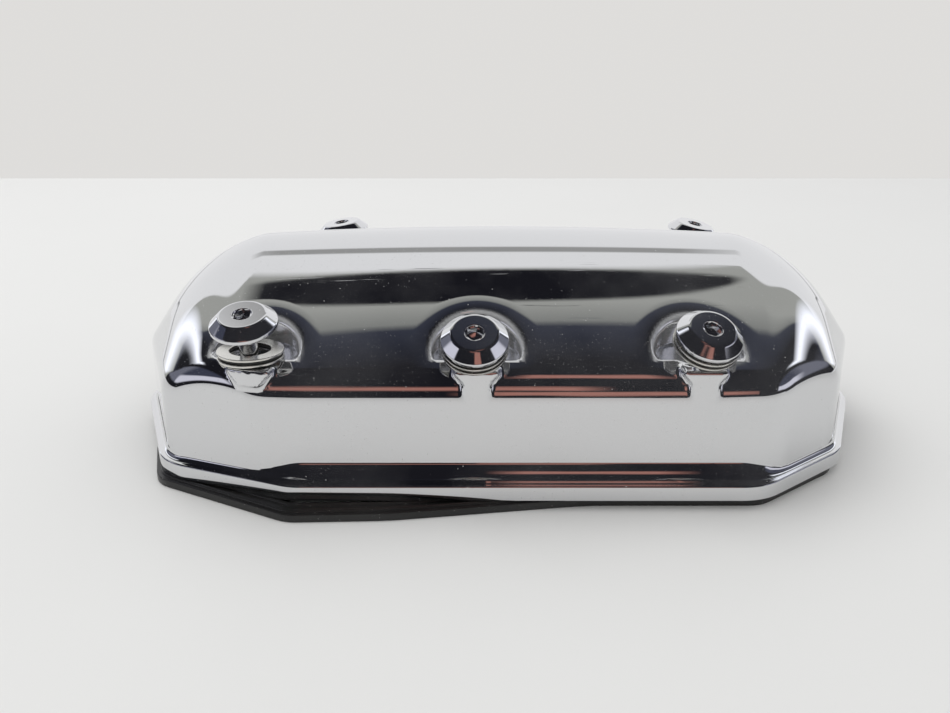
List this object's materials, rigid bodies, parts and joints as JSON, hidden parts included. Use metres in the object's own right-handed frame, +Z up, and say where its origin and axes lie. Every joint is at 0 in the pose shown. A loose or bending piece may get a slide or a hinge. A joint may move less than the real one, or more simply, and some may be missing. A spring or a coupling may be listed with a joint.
{
  "type": "engine valve cover",
  "caption": "Chrome-plated cast engine valve cover with round bolt pockets, resting on its loose rubber gasket, with socket-head bolts and washer isolators loose in their holes.",
  "frame": {"origin": "centre of the whole object's footprint on the table plane", "axes": "+X along the cover to the right as seen from the front, +Y from the front row of bolts to the rear row, +Z up out of the crest"},
  "size_m": [0.269, 0.1671, 0.0721],
  "materials": {
    "chrome_plated_casting": "polished",
    "gasket_rubber": "moulded, semi-matt",
    "bolt_steel": "polished",
    "washer_steel": "zinc-bright",
    "isolator_rubber": "matt"
  },
  "bodies": {
    "root": {"cover_shell": "chrome_plated_casting", "perimeter_gasket": "gasket_rubber", "front_left_bolt": "bolt_steel", "front_left_lower_washer": "washer_steel", "front_left_rubber_ring": "isolator_rubber", "front_left_upper_washer": "washer_steel", "front_middle_bolt": "bolt_steel", "front_middle_lower_washer": "washer_steel", "front_middle_rubber_ring": "isolator_rubber", "front_middle_upper_washer": "washer_steel", "front_right_bolt": "bolt_steel", "front_right_lower_washer": "washer_steel", "front_right_rubber_ring": "isolator_rubber", "front_right_upper_washer": "washer_steel", "rear_left_bolt": "bolt_steel", "rear_left_lower_washer": "washer_steel", "rear_left_rubber_ring": "isolator_rubber", "rear_left_upper_washer": "washer_steel", "rear_middle_bolt": "bolt_steel", "rear_middle_lower_washer": "washer_steel", "rear_middle_rubber_ring": "isolator_rubber", "rear_middle_upper_washer": "washer_steel", "rear_right_bolt": "bolt_steel", "rear_right_lower_washer": "washer_steel", "rear_right_rubber_ring": "isolator_rubber", "rear_right_upper_washer": "washer_steel"}
  },
  "joints": []
}
